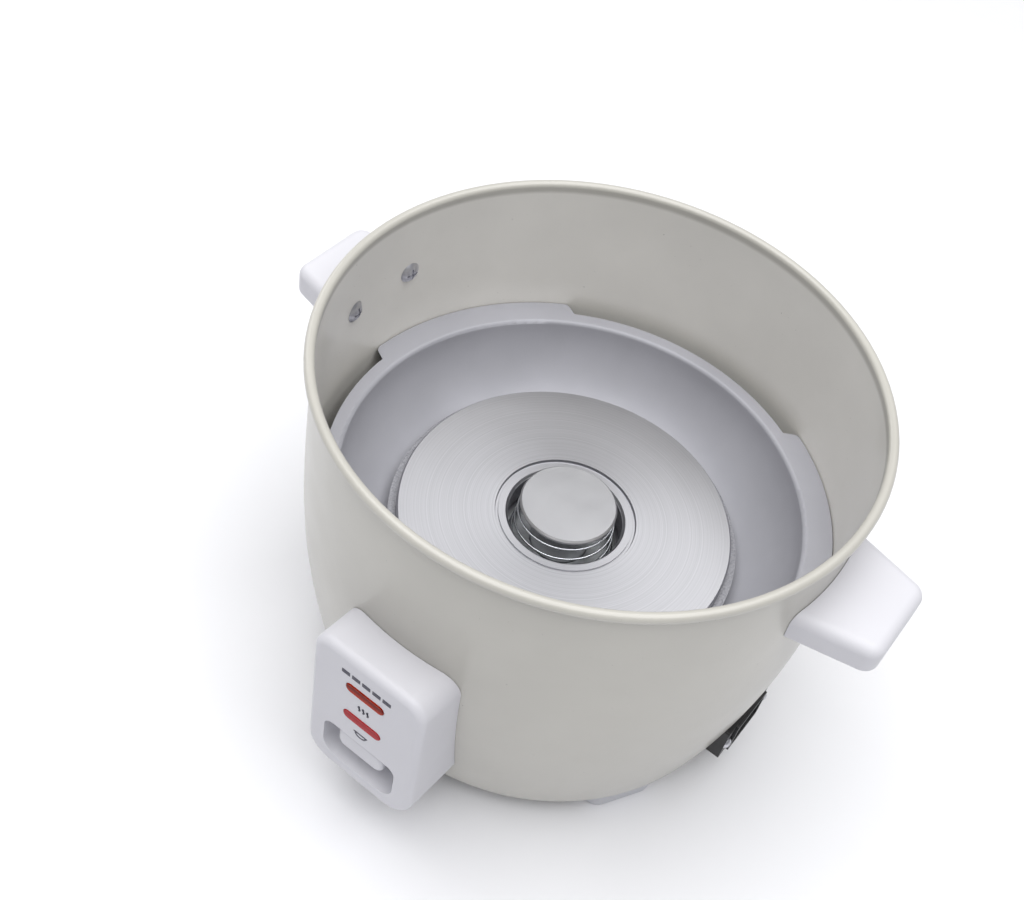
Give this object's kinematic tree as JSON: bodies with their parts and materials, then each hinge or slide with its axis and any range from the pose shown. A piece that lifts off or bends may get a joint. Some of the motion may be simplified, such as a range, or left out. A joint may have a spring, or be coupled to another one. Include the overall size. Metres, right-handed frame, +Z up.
{
  "type": "rice cooker",
  "caption": "Drum-shaped electric rice cooker body with rolled rim, heating plate, sprung thermostat cap, side handles and a front control box with a cook lever.",
  "frame": {"origin": "on the body's axis at floor level, in the middle of the three feet", "axes": "+Z up along the body's axis, -Y towards the control box, +X towards the power inlet and the right handle"},
  "size_m": [0.3092, 0.2684, 0.19],
  "materials": {
    "amber_lens": "clear amber moulding",
    "black_plastic": "black phenolic moulding",
    "body_enamel": "semi-gloss warm grey enamel on sheet steel",
    "cap_aluminium": "fine satin spun cap",
    "cast_aluminium": "cast disc with a fine concentric turned face",
    "ceramic_white": "unglazed steatite",
    "element_steel": "heat-dulled steel tube",
    "ferrite_black": "sintered ferrite",
    "foot_plastic": "light grey moulding",
    "fuse_metal": "tinned can",
    "galvanised_steel": "zinc plated sheet",
    "holder_plastic": "natural white moulding",
    "lamp_glass": "clear neon lamp glass",
    "nickel_brass": "nickel plated brass",
    "pan_grey": "satin cool grey coating",
    "red_lens": "clear red moulding",
    "red_plastic": "red moulding",
    "screw_steel": "nickel plated screws and pins",
    "spring_steel": "bright drawn wire",
    "white_plastic": "satin cool white moulding"
  },
  "bodies": {
    "base": {"bottom_plate": "galvanised_steel", "bracket_screws": "screw_steel", "control_box": "white_plastic", "control_box_screws": "screw_steel", "cook_lamp": "lamp_glass", "cook_lens": "red_lens", "earth_tag": "nickel_brass", "element_bushes": "ceramic_white", "element_terminals": "nickel_brass", "floor_screws": "screw_steel", "foot_nuts": "screw_steel", "foot_screws": "screw_steel", "front_left_foot": "foot_plastic", "front_right_foot": "foot_plastic", "fuse_clip": "galvanised_steel", "handle_screws": "screw_steel", "heating_element": "element_steel", "heating_plate": "cast_aluminium", "inlet_pins": "nickel_brass", "inlet_screws": "screw_steel", "inlet_strap": "galvanised_steel", "inner_pan": "pan_grey", "keep_warm_thermostat": "black_plastic", "lamp_holder": "holder_plastic", "left_handle": "white_plastic", "lever_bracket": "galvanised_steel", "lever_pin": "screw_steel", "outer_body": "body_enamel", "plate_posts": "element_steel", "plate_screws": "screw_steel", "power_inlet": "black_plastic", "rear_foot": "foot_plastic", "right_handle": "white_plastic", "switch_body": "black_plastic", "switch_screws": "screw_steel", "switch_terminals": "nickel_brass", "thermal_fuse": "fuse_metal", "thermostat_guide": "galvanised_steel", "thermostat_spring": "spring_steel", "warm_lamp": "lamp_glass", "warm_lens": "amber_lens", "warmer_screws": "screw_steel"},
    "thermostat_head": {"thermostat_cap": "cap_aluminium", "thermostat_sleeve": "galvanised_steel", "thermostat_ferrite": "ferrite_black"},
    "magnet": {"permanent_magnet": "ferrite_black", "magnet_carrier": "galvanised_steel", "magnet_spring": "spring_steel"},
    "lever": {"cook_lever": "galvanised_steel", "cook_key": "white_plastic"},
    "plunger": {"switch_plunger": "red_plastic"}
  },
  "joints": [
    {"name": "cap_slide", "type": "slide", "parent": "base", "child": "thermostat_head", "axis": [0, 0, 1], "range_m": [-0.0075, 0], "stiffness_N_per_m": 300, "springref_m": 0.01, "deforming": ["thermostat_spring"]},
    {"name": "lever_hinge", "type": "hinge", "parent": "base", "child": "lever", "pos_m": [0, -0.05, 0.0515], "axis": [1, 0, 0], "range_deg": [0, 5], "stiffness_Nm_per_rad": 0.4, "springref_deg": -20.05},
    {"name": "magnet_slide", "type": "slide", "parent": "base", "child": "magnet", "axis": [0, 0, 1], "range_m": [0, 0.0045], "stiffness_N_per_m": 80, "springref_m": -0.01, "deforming": ["magnet_spring"]},
    {"name": "plunger_slide", "type": "slide", "parent": "base", "child": "plunger", "axis": [0, 0, -1], "range_m": [0, 0.0026], "stiffness_N_per_m": 150, "springref_m": -0.003}
  ],
  "couplings": [
    {"joint": "magnet_slide", "follows": "lever_hinge", "m_per_rad": 0.05},
    {"joint": "plunger_slide", "follows": "lever_hinge", "m_per_rad": 0.028}
  ]
}
